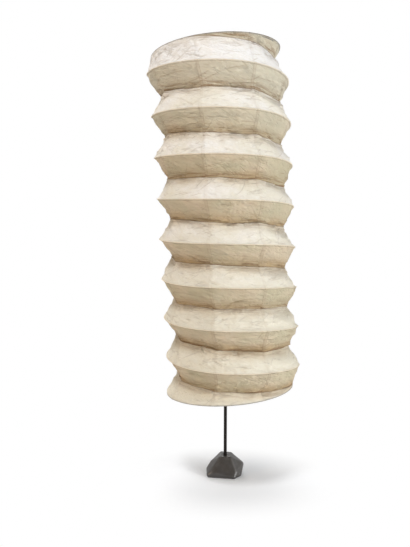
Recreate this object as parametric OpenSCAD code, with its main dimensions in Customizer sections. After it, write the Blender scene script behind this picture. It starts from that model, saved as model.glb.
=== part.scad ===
// Paper lantern floor lamp: a tall concertina of pasted paper on one spiral
// wire rib, hung between two wire supports on a thin stem in an iron base.
// Millimetres, +Z up. The origin is on the floor, on the stem's own axis.
// Angles run anticlockwise seen from above, from 0 at +X; 270 is the front.

/* [Shade] */
// Radius out to the ridge, where the rib pushes the paper out
ridge_r = 247; // [225:1:260]
// Radius in to the fold halfway between two turns of the rib
valley_r = 204; // [185:1:215]
// Radius of the paper at the top rim
top_rim_r = 228; // [215:1:245]
// Radius of the paper at the bottom rim
bottom_rim_r = 236; // [215:1:250]
// Height from the bottom rim's centre to the top rim's centre
shade_h = 1200; // [1000:10:1300]
// Height of the bottom rim's centre over the floor
shade_z = 340; // [300:5:400]
// Turns that the rib makes between the two rims
rib_turns = 8.34; // [7:0.01:10]
// Angle at which the rib leaves the top rim
rib_start = 65.25; // [45:0.25:80]
// Vertical strips of paper that the shade is pasted together from
gore_count = 8; // [6:1:10]
// Angle of the first seam between two strips
seam_start = 76.5; // [70:0.25:90]
// Thickness of the paper with its paste
paper_t = 0.6; // [0.4:0.1:1.2]
// Height over which a rim's radius blends into the folds, as a share of a turn
rim_blend = 0.35; // [0.2:0.05:0.45]

/* [Lean of the hanging shade] */
// How far the line of the hoops' centres passes to the right of the stem at the bottom
bottom_lean = 33; // [0:1:45]
// How far that line passes to the left of the stem at the top
top_lean = 33; // [0:1:45]
// How far the bottom rim hangs to the left of that line
bottom_push = 18; // [0:1:22]
// How far the top rim hangs to the left of that line
top_push = 8; // [0:1:12]
// Height over which the bottom rim's push fades out, as a share of a turn
bottom_fade = 0.65; // [0.5:0.05:1]
// Height over which the top rim's push fades out, as a share of a turn
top_fade = 1.2; // [0.8:0.05:1.5]
// Tilt that lifts the right side of every hoop
hoop_roll = 4.5; // [0:0.5:6]
// Tilt that lifts the front of every hoop
hoop_nod = 2.5; // [0:0.5:5]

/* [Wires] */
// Diameter of the spiral rib
rib_d = 2.4; // [1.6:0.1:3.2]
// Diameter of the two rim rings
rim_d = 3; // [2:0.2:4]
// Diameter of the support arms
arm_d = 4; // [3:0.5:6]
// Angle round the hoop of the first support arm
arm_start = 90; // [80:1:100]
// Wall of the clip at an arm's end
clip_t = 1; // [0.8:0.1:1.2]
// Length of the clip along the rim
clip_len = 12; // [8:1:20]

/* [Stem] */
// Outer diameter of the stem tube
stem_d = 12; // [10:0.5:13]
// Bore of the stem tube, for the lead
stem_bore_d = 8.5; // [6:0.5:8.5]
// Height of the joint between the two lengths of tube
joint_z = 860; // [800:10:980]
// Outer diameter of the sleeve over that joint
coupling_d = 17; // [16:0.5:22]
// Length of the sleeve over that joint
coupling_len = 36; // [24:2:60]

/* [Supports] */
// Outer diameter of the hub that carries the top arms
hub_d = 26; // [24:1:32]
// Height of that hub
hub_h = 14; // [12:1:20]
// How far the hub's middle lies below the plane of the top rim
hub_drop = 14; // [12:1:24]
// Height of the ring that the hub turns on
stop_h = 8; // [5:1:14]
// Height of the cap nut over the hub
cap_h = 12; // [10:1:16]
// Outer diameter of the collar that carries the bottom arms
collar_d = 28; // [26:1:34]
// Height of that collar
collar_h = 18; // [14:1:26]
// How far the bottom support slides up the stem
support_travel = 200; // [100:10:210]
// Angle of the thumbscrew round the stem
screw_angle = 148; // [130:1:165]
// Diameter of the thumbscrew's thread
screw_d = 5; // [4:1:6]
// Length of the thumbscrew's thread
screw_len = 14; // [12:1:20]
// Width across the thumbscrew's wings
wing_w = 24; // [18:1:30]

/* [Lampholders] */
// Height of the lower bracket
lower_bracket_z = 600; // [595:5:640]
// Height of the upper bracket
upper_bracket_z = 1080; // [1000:5:1200]
// Distance from the stem's axis to a lampholder's axis
holder_reach = 46; // [44:1:60]
// Thickness of the bracket's arm and pad
bracket_t = 6; // [5:1:8]
// Outer diameter of the bracket's clamp round the stem
clamp_d = 24; // [21:1:28]
// Height of that clamp
clamp_h = 16; // [14:1:24]
// Outer diameter of a lampholder
holder_d = 38; // [36:1:44]
// Height of a lampholder's cap
holder_cap_h = 18; // [14:1:24]
// Height of a lampholder's shell
holder_shell_h = 34; // [32:1:44]
// Wall of the cap and the shell
holder_wall = 2; // [1.5:0.1:2.5]
// Outer diameter of the bulb's screw cap
bulb_cap_d = 26.4; // [25:0.1:27]
// Diameter of the bulb
bulb_d = 60; // [50:1:70]
// Height of the bulb's glass
bulb_glass_h = 70; // [64:1:90]

/* [Base] */
// Width of the iron base along X
base_w = 143; // [130:1:160]
// Depth of the base along Y
base_depth = 110; // [104:1:122]
// Height of the base over the floor
base_h = 74; // [68:1:90]
// Thickness of the pad under the base
pad_t = 2; // [1:0.5:4]
// How far the pad lies inside the base's foot
pad_inset = 6; // [3:1:10]
// Diameter of the recess in the underside, for the nut and the lead
recess_d = 32; // [28:1:36]
// Depth of that recess in the iron
recess_h = 22; // [20:1:26]
// Diameter of the bush that a lead enters through at the back
bush_d = 11; // [9:0.5:12]
// Diameter of the bush's flange
bush_flange_d = 15; // [13:0.5:16]
// Height of the bush's axis over the pad
bush_z = 9; // [8.5:0.5:11]

/* [Hidden] */
HOLDERS = [["lower", lower_bracket_z, 180], ["upper", upper_bracket_z, 0]];

$fn = 48;
ball_fn = 24;       // sides of the balls that the base is drawn over
fit_gap = 0.3;      // gap between soft pieces and what they lie against
run_gap = 0.08;     // gap all round a piece that turns or slides on the stem
clip_gap = 0.15;    // gap between a rim ring and the clips that hold it
press_gap = 0.05;   // gap all round a rod in its hole
cut = 1;            // how far a cutting shape runs past the faces it opens
chamfer = 1;        // broken edges of turned parts
gore_steps = 4;     // steps across one strip of paper
wire_sides = 6;     // sides of the rib's section
arm_count = 3;      // support arms at each end

iron = [0.20, 0.19, 0.18];
black_metal = [0.10, 0.10, 0.10];
zinc = [0.62, 0.62, 0.64];
paper = [0.93, 0.90, 0.83];
brass = [0.78, 0.66, 0.40];

stem_r = stem_d / 2;
sleeve_r = stem_r + run_gap;            // bore of everything that sits on the stem
pitch = shade_h / rib_turns;
gore_angle = 360 / gore_count;
step_angle = gore_angle / gore_steps;
fold_angle = atan((ridge_r - valley_r) / (pitch / 2));
paper_wall = paper_t / cos(fold_angle); // the paper's thickness along a radius
rib_inset = paper_wall + (rib_d / 2 + fit_gap) / cos(fold_angle);
chord_sag = ridge_r * (1 - cos(step_angle / 2));    // flats of the paper inside its corners
rim_inset = paper_wall + chord_sag + 2 * fit_gap + rim_d / 2;

/* The hoops. Every turn of the shade is a hoop round a line that leans from
   bottom_lean to -top_lean. The rims hang a little to the left of that line, and
   all hoops share one tilt. */

function ease(x) = let (t = min(max(x, 0), 1)) t * t * (3 - 2 * t);
function hoop_x(level) = bottom_lean - (bottom_lean + top_lean) * level / shade_h
    - bottom_push * (1 - ease(level / (bottom_fade * pitch)))
    - top_push * (1 - ease((shade_h - level) / (top_fade * pitch)));
function nodded(p) = [p.x, p.y * cos(hoop_nod) + p.z * sin(hoop_nod),
                      p.z * cos(hoop_nod) - p.y * sin(hoop_nod)];
function rolled(p) = [p.x * cos(hoop_roll) - p.z * sin(hoop_roll), p.y,
                      p.z * cos(hoop_roll) + p.x * sin(hoop_roll)];
function hoop_point(level, radius, angle, lift = 0) =
    [hoop_x(level), 0, shade_z + level]
    + rolled(nodded([radius * cos(angle), radius * sin(angle), lift]));

// Moves a shape from the origin to a hoop's centre and lays it in the hoop's plane.
module on_hoop(level) {
    translate([hoop_x(level), 0, shade_z + level])
        rotate([0, -hoop_roll, 0]) rotate([-hoop_nod, 0, 0]) children();
}

// Height at which the stem's axis passes through a hoop's plane.
function stem_z(level) = shade_z + level - hoop_x(level) * tan(hoop_roll);

/* The paper. Row 0 is the ridge, row 1 the valley half a turn below it, and so
   on down. A row falls by one pitch a turn, and the rims end its fall. */

first_row = -3;
last_row = ceil(2 * rib_turns);

function fall(angle, row) = pitch * ((angle - rib_start) / 360 + row / 2);
function row_level(angle, row) = min(max(shade_h - fall(angle, row), 0), shade_h);
function open_share(level) = ease(min(level, shade_h - level) / (rim_blend * pitch));
function rim_r(level) = level > shade_h / 2 ? top_rim_r : bottom_rim_r;
function row_r(level, row) = let (open_r = row % 2 == 0 ? ridge_r : valley_r)
    rim_r(level) + (open_r - rim_r(level)) * open_share(level);
function paper_point(angle, row, inset) = let (level = row_level(angle, row))
    hoop_point(level, row_r(level, row) - inset, angle);

function quad(a, b, c, d) = [[a, b, c], [a, c, d]];

// A closed sheet between two skins, each a grid of columns whose points run down.
// Triangles that a rim has closed to nothing are left out.
module sheet_solid(outside, inside, columns, rows) {
    points = concat(outside, inside);
    back = len(outside);
    function at(column, row) = column * rows + row;
    function real(t) = points[t[0]] != points[t[1]] && points[t[1]] != points[t[2]]
        && points[t[2]] != points[t[0]];
    right = columns - 1;
    low = rows - 1;
    skins = [for (c = [0:right - 1], r = [0:low - 1])
        let (a = at(c, r), b = at(c, r + 1), d = at(c + 1, r), e = at(c + 1, r + 1))
        each concat(quad(a, d, e, b), quad(back + a, back + b, back + e, back + d))];
    sides = [for (r = [0:low - 1])
        let (a = at(0, r), b = at(0, r + 1), d = at(right, r), e = at(right, r + 1))
        each concat(quad(a, b, back + b, back + a), quad(d, back + d, back + e, e))];
    hems = [for (c = [0:right - 1])
        let (a = at(c, 0), d = at(c + 1, 0), b = at(c, low), e = at(c + 1, low))
        each concat(quad(d, a, back + a, back + d), quad(b, e, back + e, back + b))];
    polyhedron(points, [for (t = concat(skins, sides, hems)) if (real(t)) t], convexity = 10);
}

// One vertical strip of paper, folded out at the ridges and in at the valleys.
module shade_gore(gore) {
    left = seam_start + gore_angle * (gore - 1);
    function skin(inset) = [for (c = [0:gore_steps], row = [first_row:last_row])
        paper_point(left + step_angle * c, row, inset)];
    color(paper) sheet_solid(skin(0), skin(paper_wall), gore_steps + 1, last_row - first_row + 1);
}

/* The rib: one unbroken wire that runs inside the ridge from rim to rim. It
   stops where it would meet the rim rings. */

rib_clear = ((rib_d + rim_d) / 2 + 2 * fit_gap) / pitch * 360;
rib_first = ceil(rib_clear / step_angle);
rib_last = floor((360 * rib_turns - rib_clear) / step_angle);
steps_per_turn = gore_steps * gore_count;

function rib_point(i, out, up) = let (angle = rib_start + step_angle * i, level = row_level(angle, 0))
    hoop_point(level, row_r(level, 0) - rib_inset + out, angle, up);

rib_gap = min([for (i = [rib_first:rib_last - steps_per_turn])
    norm(rib_point(i, 0, 0) - rib_point(i + steps_per_turn, 0, 0))]) - rib_d;
echo(least_gap_between_turns_of_the_rib = rib_gap);

module shade_rib() {
    n = wire_sides;
    rings = rib_last - rib_first + 1;
    points = [for (i = [rib_first:rib_last], k = [0:n - 1])
        rib_point(i, rib_d / 2 * cos(360 * k / n), rib_d / 2 * sin(360 * k / n))];
    walls = [for (i = [0:rings - 2], k = [0:n - 1]) let (next = (k + 1) % n)
        each quad(i * n + k, i * n + next, (i + 1) * n + next, (i + 1) * n + k)];
    ends = [for (k = [1:n - 2]) each [[0, k + 1, k],
        [(rings - 1) * n, (rings - 1) * n + k, (rings - 1) * n + k + 1]]];
    color(zinc) polyhedron(points, concat(walls, ends), convexity = 10);
}

module rim_ring(level) {
    color(zinc) on_hoop(level)
        rotate_extrude() translate([rim_r(level) - rim_inset, 0]) circle(d = rim_d);
}

module top_rim() { rim_ring(shade_h); }
module bottom_rim() { rim_ring(0); }

/* The supports. Each is a hub or collar on the stem with three arms, whose
   clips hold the rim ring from inside. */

arm_root = stem_r + 2.5;                // distance of an arm's inner end from the stem's axis
clip_d = rim_d + 2 * (clip_gap + clip_t);
top_hub_z = stem_z(shade_h) - hub_drop; // the hub's middle
collar_z = stem_z(0);                   // the collar's middle

function arm_angle(k) = arm_start + 360 / arm_count * k;
function arm_tip(level, k) =
    hoop_point(level, rim_r(level) - rim_inset - (clip_d - clip_t) / 2, arm_angle(k));
function arm_heel(level, z, k) = let (v = arm_tip(level, k) - [0, 0, z])
    [0, 0, z] + v / norm(v) * arm_root;

// A round rod from one point to another.
module rod(from, to, d) {
    v = to - from;
    translate(from) rotate([0, acos(v.z / norm(v)), atan2(v.y, v.x)]) cylinder(h = norm(v), d = d);
}

// Half a sleeve round the inner side of the rim ring.
module clip() {
    difference() {
        rotate([90, 0, 0]) cylinder(h = clip_len, d = clip_d, center = true);
        rotate([90, 0, 0]) cylinder(h = clip_len + 2 * cut, d = rim_d + 2 * clip_gap, center = true);
        translate([0, -clip_len / 2 - cut, -clip_d / 2 - cut])
            cube([clip_d, clip_len + 2 * cut, clip_d + 2 * cut]);
    }
}

module support_arms(level, z) {
    color(black_metal) for (k = [0:arm_count - 1]) {
        rod(arm_heel(level, z, k), arm_tip(level, k), arm_d);
        on_hoop(level) rotate([0, 0, arm_angle(k)]) translate([rim_r(level) - rim_inset, 0, 0]) clip();
    }
}

// A turned ring on the stem, with broken edges and the stem's running bore.
module turned_ring(d, h) {
    rotate_extrude() polygon([
        [sleeve_r, 0], [d / 2 - chamfer, 0], [d / 2, chamfer],
        [d / 2, h - chamfer], [d / 2 - chamfer, h], [sleeve_r, h]]);
}

// Such a ring with the holes that a support's arms are pushed into.
module arm_ring(d, h, level, z) {
    difference() {
        translate([0, 0, z - h / 2]) turned_ring(d, h);
        for (k = [0:arm_count - 1])
            rod(arm_heel(level, z, k), arm_tip(level, k), arm_d + 2 * press_gap);
    }
}

module top_hub() { color(black_metal) arm_ring(hub_d, hub_h, shade_h, top_hub_z); }
module top_arms() { support_arms(shade_h, top_hub_z); }
module bottom_arms() { support_arms(0, collar_z); }

module on_screw_axis() {
    translate([0, 0, collar_z]) rotate([0, 0, screw_angle]) rotate([0, 90, 0]) children();
}

module bottom_collar() {
    color(black_metal) difference() {
        arm_ring(collar_d, collar_h, 0, collar_z);
        on_screw_axis() cylinder(h = collar_d, d = screw_d + 2 * run_gap);
    }
}

// A wing screw whose tip bears on the stem.
module thumb_screw() {
    boss_h = 6;
    wing_t = 3;
    wing_r = 5;
    tip = stem_r + run_gap;
    color(zinc) on_screw_axis() {
        translate([0, 0, tip]) cylinder(h = screw_len + boss_h, d = screw_d);
        translate([0, 0, tip + screw_len]) cylinder(h = boss_h, d = screw_d + 4);
        translate([-wing_w / 2 + wing_r, -wing_t / 2, tip + screw_len + 1])
            cube([wing_w - 2 * wing_r, wing_t, boss_h - 1]);
        for (side = [-1, 1])
            translate([side * (wing_w / 2 - wing_r), 0, tip + screw_len + boss_h])
                rotate([90, 0, 0]) cylinder(h = wing_t, r = wing_r, center = true);
    }
}

/* The stem. Two lengths of tube butt inside a sleeve. The hub turns on a fixed
   ring, under a cap nut. */

recess_top = pad_t + recess_h;
washer_t = 1.5;
nut_h = 6;
stem_foot = recess_top - washer_t - nut_h - 2;
stop_top = top_hub_z - hub_h / 2 - run_gap;
cap_z = top_hub_z + hub_h / 2 + run_gap;
cap_bore_h = cap_h - 4;

module tube(z_low, z_high) {
    color(black_metal) translate([0, 0, z_low]) difference() {
        cylinder(h = z_high - z_low, d = stem_d);
        translate([0, 0, -cut]) cylinder(h = z_high - z_low + 2 * cut, d = stem_bore_d);
    }
}

module stem_lower() { tube(stem_foot, joint_z); }
module stem_upper() { tube(joint_z, cap_z + cap_bore_h - run_gap); }

module stem_coupling() {
    color(black_metal) translate([0, 0, joint_z - coupling_len / 2]) turned_ring(coupling_d, coupling_len);
}

module hub_stop() {
    color(black_metal) translate([0, 0, stop_top - stop_h]) turned_ring(hub_d - 6, stop_h);
}

module cap_nut() {
    cap_r = hub_d / 2 - 3;
    color(black_metal) translate([0, 0, cap_z]) rotate_extrude() polygon(concat(
        [[sleeve_r, 0], [cap_r, 0]],
        [for (a = [0:15:90]) [cap_r * cos(a), cap_h - 5 + 5 * sin(a)]],
        [[0, cap_bore_h], [sleeve_r, cap_bore_h]]));
}

/* The lampholders. Each stands on a bracket clamped to the stem, the lower one
   on the left and the upper one on the right. */

holder_r = holder_d / 2;
pad_r = 12;
nipple_r = 5;
nipple_bore_r = 3.5;
locknut_h = 4;
insert_t = 8;                               // the insulator under a bulb
shell_z = bracket_t + holder_cap_h;         // the shell's foot
shell_top = shell_z + holder_shell_h;
bulb_cap_r = bulb_cap_d / 2;

module at_holder(holder) {
    translate([0, 0, holder[1]]) rotate([0, 0, holder[2]]) translate([holder_reach, 0, 0]) children();
}

module hole(r, z_low, z_high) { translate([0, 0, z_low - cut]) cylinder(h = z_high - z_low + 2 * cut, r = r); }

module bracket(holder) {
    clamp_low = (bracket_t - clamp_h) / 2;
    color(black_metal) difference() {
        union() {
            at_holder(holder) cylinder(h = bracket_t, r = pad_r);
            at_holder(holder) translate([-holder_reach, -pad_r / 2, 0]) cube([holder_reach, pad_r, bracket_t]);
            translate([0, 0, holder[1] + clamp_low]) cylinder(h = clamp_h, d = clamp_d);
        }
        translate([0, 0, holder[1]]) hole(sleeve_r, clamp_low, clamp_low + clamp_h);
        at_holder(holder) hole(nipple_r + press_gap, 0, bracket_t);
        translate([0, 0, holder[1] + bracket_t / 2]) rotate([0, 0, holder[2]])
            rotate([0, -90, 0]) cylinder(h = clamp_d, r = 2 + press_gap);
    }
}

// The set screw that pinches a bracket's clamp on the stem.
module bracket_screw(holder) {
    color(zinc) translate([0, 0, holder[1] + bracket_t / 2]) rotate([0, 0, holder[2]]) rotate([0, -90, 0]) {
        translate([0, 0, stem_r + run_gap]) cylinder(h = clamp_d / 2 - stem_r, r = 2);
        translate([0, 0, clamp_d / 2]) cylinder(h = 3, r = 3.5);
    }
}

module nipple(holder) {
    low = -locknut_h - 2;
    high = bracket_t + holder_wall + 4;
    color(zinc) at_holder(holder) difference() {
        translate([0, 0, low]) cylinder(h = high - low, r = nipple_r);
        hole(nipple_bore_r, low, high);
    }
}

module locknut(holder) {
    color(zinc) at_holder(holder) difference() {
        translate([0, 0, -locknut_h]) cylinder(h = locknut_h, r = 8, $fn = 6);
        hole(nipple_r + press_gap, -locknut_h, 0);
    }
}

module holder_cap(holder) {
    foot_r = pad_r - 2;
    function bowl(r, low) = [for (a = [0:15:90])
        [foot_r + (r - foot_r) * sin(a), low + (holder_cap_h - low) * (1 - cos(a))]];
    inner = bowl(holder_r - holder_wall, holder_wall);
    color(black_metal) at_holder(holder) translate([0, 0, bracket_t]) rotate_extrude() polygon(concat(
        [[nipple_r + press_gap, 0]], bowl(holder_r, 0),
        [for (i = [len(inner) - 1:-1:0]) inner[i]], [[nipple_r + press_gap, holder_wall]]));
}

module holder_shell(holder) {
    bead = 1;
    color(black_metal) at_holder(holder) translate([0, 0, shell_z]) rotate_extrude() polygon([
        [holder_r - holder_wall, 0], [holder_r, 0], [holder_r, holder_shell_h - 4],
        [holder_r + bead, holder_shell_h - 3], [holder_r + bead, holder_shell_h - 1],
        [holder_r, holder_shell_h], [holder_r - holder_wall, holder_shell_h]]);
}

// The insulator with the screw shell that a bulb's cap turns into.
module holder_insert(holder) {
    bore_r = bulb_cap_r + fit_gap;
    high = holder_shell_h - 4;
    color(brass) at_holder(holder) translate([0, 0, shell_z]) rotate_extrude() polygon([
        [0, 1], [holder_r - holder_wall - press_gap, 1], [holder_r - holder_wall - press_gap, 1 + insert_t],
        [bore_r + 1, 1 + insert_t], [bore_r + 1, high], [bore_r, high], [bore_r, 1 + insert_t], [0, 1 + insert_t]]);
}

module bulb_cap(holder) {
    low = 1 + insert_t + fit_gap;
    high = holder_shell_h + 1;
    color(brass) at_holder(holder) translate([0, 0, shell_z]) rotate_extrude() polygon([
        [0, low], [4, low], [5, low + 2], [bulb_cap_r, low + 5], [bulb_cap_r, high], [0, high]]);
}

// The glass: a hollow neck that opens into a ball.
module bulb_glass(holder) {
    r = bulb_d / 2;
    neck_r = bulb_cap_r - 0.5;
    glass_t = 1;
    neck_end = -55;     // angle below the ball's equator at which the neck begins
    function ball(radius) = [for (i = [0:12]) let (a = neck_end + (90 - neck_end) * i / 12)
        [radius * cos(a), bulb_glass_h - r + radius * sin(a)]];
    inner = ball(r - glass_t);
    color("white") at_holder(holder) translate([0, 0, shell_top + 1]) rotate_extrude() polygon(concat(
        [[neck_r, 0]], ball(r), [for (i = [len(inner) - 1:-1:0]) inner[i]], [[neck_r - glass_t, 0]]));
}

/* The base: an iron pebble, drawn over balls at its foot, its belly and its
   crown, and cut flat underneath. A ball's place is given from -1 to 1 across
   the width and the depth and from 0 to 1 up the height. */

base_mid = [-0.5, -5];                  // the base's middle, seen from the stem
FOOT = [[-0.96, -0.78, 0.16, 12], [0.44, -1, 0.16, 12], [0.83, -0.49, 0.17, 12],
        [0.92, 0.4, 0.17, 12], [0.48, 1, 0.17, 12], [-0.66, 0.77, 0.17, 12]];
BELLY = [[-1, -0.05, 0.28, 12], [-0.77, 0.15, 0.6, 12], [1, 0.12, 0.58, 13],
         [0.62, -0.86, 0.36, 12], [-0.78, -0.8, 0.32, 12], [-0.05, 1, 0.5, 12]];
CROWN = [[-0.27, -0.26, 0.95, 10], [0.34, -0.27, 0.94, 10], [0.33, 0.62, 0.97, 10],
         [-0.22, 0.62, 1, 10]];

function ball_place(b) = [base_mid.x + b[0] * (base_w / 2 - b[3]),
    base_mid.y + b[1] * (base_depth / 2 - b[3]), b[2] * (base_h - b[3])];

washer_r = recess_d / 2 - 3;
nut_r = 10;
bush_y = base_mid.y + base_depth / 2;   // the base's furthest point behind
spot_depth = 5;                         // flat seat cut there for the bush's flange
flange_t = 2.5;
bush_bore_r = 3.5;

module on_bush_axis() { translate([0, bush_y - spot_depth, pad_t + bush_z]) rotate([90, 0, 0]) children(); }

module base_casting() {
    color(iron) difference() {
        hull() for (b = concat(FOOT, BELLY, CROWN)) translate(ball_place(b)) sphere(r = b[3], $fn = ball_fn);
        translate([-base_w, -base_depth, -base_h]) cube([2 * base_w, 2 * base_depth, base_h + pad_t]);
        hole(sleeve_r, pad_t, base_h);
        translate([0, 0, pad_t - cut]) cylinder(h = recess_h + cut, d = recess_d);
        on_bush_axis() cylinder(h = bush_y - spot_depth, d = bush_d + 2 * press_gap);
        on_bush_axis() mirror([0, 0, 1]) cylinder(h = spot_depth + cut, d = bush_flange_d + 2 * cut);
    }
}

// The pad covers the whole underside, with the recess and its nut inside.
module base_pad() {
    color(black_metal) linear_extrude(pad_t) hull() for (b = FOOT)
        let (p = ball_place(b), drop = p.z - pad_t)
            translate([p.x, p.y]) circle(r = sqrt(pow(b[3], 2) - pow(drop, 2)) - pad_inset);
}

module base_washer() {
    color(zinc) translate([0, 0, recess_top - washer_t]) difference() {
        cylinder(h = washer_t, r = washer_r);
        hole(sleeve_r, 0, washer_t);
    }
}

module base_nut() {
    color(zinc) translate([0, 0, recess_top - washer_t - nut_h]) difference() {
        cylinder(h = nut_h, r = nut_r, $fn = 6);
        hole(sleeve_r, 0, nut_h);
    }
}

// The bush in the back of the base that a lead would enter through.
module cord_bush() {
    length = bush_y - spot_depth - recess_d / 2;
    color(black_metal) on_bush_axis() difference() {
        union() {
            cylinder(h = length, d = bush_d);
            mirror([0, 0, 1]) cylinder(h = flange_t, d = bush_flange_d);
        }
        hole(bush_bore_r, -flange_t, length);
    }
}

base_casting();
base_pad();
base_washer();
base_nut();
cord_bush();
stem_lower();
stem_coupling();
stem_upper();
hub_stop();
cap_nut();
for (holder = HOLDERS) {
    bracket(holder);
    bracket_screw(holder);
    nipple(holder);
    locknut(holder);
    holder_cap(holder);
    holder_shell(holder);
    holder_insert(holder);
    bulb_cap(holder);
    bulb_glass(holder);
}
top_hub();
top_arms();
top_rim();
shade_rib();
for (gore = [1:gore_count])
    shade_gore(gore);
bottom_collar();
bottom_arms();
bottom_rim();
thumb_screw();
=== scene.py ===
"""Paper lantern floor lamp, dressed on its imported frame. Metres, +Z up.

Angles run anticlockwise seen from above, from 0 at +X; 270 is the front.
Row numbers run down the paper: an even row is a ridge on the rib, an odd row is a
valley, and a row falls by one pitch in each turn round the shade.
"""
import math

import bpy
import numpy as np
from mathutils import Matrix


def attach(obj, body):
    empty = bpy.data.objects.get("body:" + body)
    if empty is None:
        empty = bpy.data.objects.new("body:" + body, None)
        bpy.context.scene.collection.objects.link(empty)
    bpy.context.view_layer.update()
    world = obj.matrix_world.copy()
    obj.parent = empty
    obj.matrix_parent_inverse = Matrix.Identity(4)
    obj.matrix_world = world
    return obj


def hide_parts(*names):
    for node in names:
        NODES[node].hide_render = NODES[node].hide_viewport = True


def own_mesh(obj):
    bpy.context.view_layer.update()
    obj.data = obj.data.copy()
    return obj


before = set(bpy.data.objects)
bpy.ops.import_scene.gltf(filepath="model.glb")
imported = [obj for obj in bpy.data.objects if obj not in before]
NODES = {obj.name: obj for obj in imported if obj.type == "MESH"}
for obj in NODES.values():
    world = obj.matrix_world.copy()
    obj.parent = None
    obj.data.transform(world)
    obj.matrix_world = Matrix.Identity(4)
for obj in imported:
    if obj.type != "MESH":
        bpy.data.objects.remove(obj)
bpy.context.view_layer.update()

# The shade, as in the part's source
RIDGE_R, VALLEY_R = 0.247, 0.204
TOP_RIM_R, BOTTOM_RIM_R = 0.228, 0.236
SHADE_H, SHADE_Z = 1.2, 0.34
TURNS = 8.34
RIB_START, SEAM_START = 65.25, 76.5
GORES = 8
PAPER_T = 0.0006
RIM_BLEND = 0.35
BOTTOM_LEAN, TOP_LEAN = 0.033, 0.033
BOTTOM_PUSH, TOP_PUSH = 0.018, 0.008
BOTTOM_FADE, TOP_FADE = 0.65, 1.2
HOOP_ROLL, HOOP_NOD = math.radians(4.5), math.radians(2.5)
RIB_D, RIM_D, FIT_GAP = 0.0024, 0.003, 0.0003

PITCH = SHADE_H / TURNS
GORE_ANGLE = 360 / GORES
FOLD_ANGLE = math.atan((RIDGE_R - VALLEY_R) / (PITCH / 2))
SLANT = math.hypot(RIDGE_R - VALLEY_R, PITCH / 2)
PAPER_WALL = PAPER_T / math.cos(FOLD_ANGLE)
RIB_INSET = PAPER_WALL + (RIB_D / 2 + FIT_GAP) / math.cos(FOLD_ANGLE)
CHORD_SAG = RIDGE_R * (1 - math.cos(math.radians(GORE_ANGLE / 8)))
RIM_INSET = PAPER_WALL + CHORD_SAG + 2 * FIT_GAP + RIM_D / 2

# The base, as in the part's source. Its balls are (u, v, w, radius): two at the front right
# of the foot and the front two of the crown stand a few millimetres from the source's, for
# the outline in the photograph.
BASE_W, BASE_DEPTH, BASE_H, PAD_T = 0.143, 0.110, 0.074, 0.002
BASE_MID = (-0.0005, -0.005)
FOOT = [[-0.96, -0.78, 0.16, 0.012], [0.53, -1, 0.16, 0.012], [0.85, -0.56, 0.17, 0.012],
        [0.92, 0.4, 0.17, 0.012], [0.48, 1, 0.17, 0.012], [-0.66, 0.77, 0.17, 0.012]]
BELLY = [[-1, -0.05, 0.28, 0.012], [-0.77, 0.15, 0.6, 0.012], [1, 0.12, 0.58, 0.013],
         [0.62, -0.86, 0.36, 0.012], [-0.78, -0.8, 0.32, 0.012], [-0.05, 1, 0.5, 0.012]]
CROWN = [[-0.27, -0.26, 0.99, 0.010], [0.34, -0.27, 0.98, 0.010], [0.33, 0.62, 0.97, 0.010],
         [-0.22, 0.62, 1, 0.010]]
BUSH_SEAT = BASE_MID[1] + BASE_DEPTH / 2 - 0.005
BUSH_Z, BUSH_SEAT_R = 0.011, 0.0085
# The skin dips round the stem, from this radius and by this much
DIP_R, DIP = 0.0066, 0.0015


# ---------------------------------------------------------------- meshes and noise

def lay_mesh(name, points, faces, uv=None, masks=None):
    """A mesh object at the origin from whole arrays: points, and face arrays of three
    or four corners each. uv is one pair per point, masks is {name: one number per point}."""
    mesh = bpy.data.meshes.new(name)
    mesh.vertices.add(len(points))
    mesh.vertices.foreach_set("co", np.asarray(points, np.float32).ravel())
    faces = [f for f in faces if len(f)]
    corners = np.concatenate([f.ravel() for f in faces]).astype(np.int32)
    sizes = np.concatenate([np.full(len(f), f.shape[1]) for f in faces])
    mesh.loops.add(len(corners))
    mesh.loops.foreach_set("vertex_index", corners)
    mesh.polygons.add(len(sizes))
    starts = np.concatenate([[0], np.cumsum(sizes)[:-1]])
    mesh.polygons.foreach_set("loop_start", starts.astype(np.int32))
    if uv is not None:
        layer = mesh.uv_layers.new(name="sheet")
        layer.data.foreach_set("uv", np.asarray(uv, np.float32)[corners].ravel())
    mesh.update(calc_edges=True)
    for mask, values in (masks or {}).items():
        mesh.attributes.new(mask, "FLOAT", "POINT").data.foreach_set(
            "value", np.asarray(values, np.float32).ravel())
    mesh.shade_smooth()
    piece = bpy.data.objects.new(name, mesh)
    bpy.context.scene.collection.objects.link(piece)
    return piece


def grid_faces(columns, rows, round_columns=False, round_rows=False):
    """Quads between neighbours of a grid whose point (c, r) has the number c * rows + r."""
    c = np.arange(columns if round_columns else columns - 1)
    r = np.arange(rows if round_rows else rows - 1)
    c, r = np.meshgrid(c, r, indexing="ij")
    d, s = (c + 1) % columns, (r + 1) % rows
    return np.stack([c * rows + r, d * rows + r, d * rows + s, c * rows + s], -1).reshape(-1, 4)


def dress(piece, body, slot, material, *nodes):
    """The piece's finish, the body that it rides on and the CAD nodes that it stands for."""
    piece.data.materials.append(material)
    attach(piece, body)
    if nodes:
        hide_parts(*nodes)
    return piece


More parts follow.
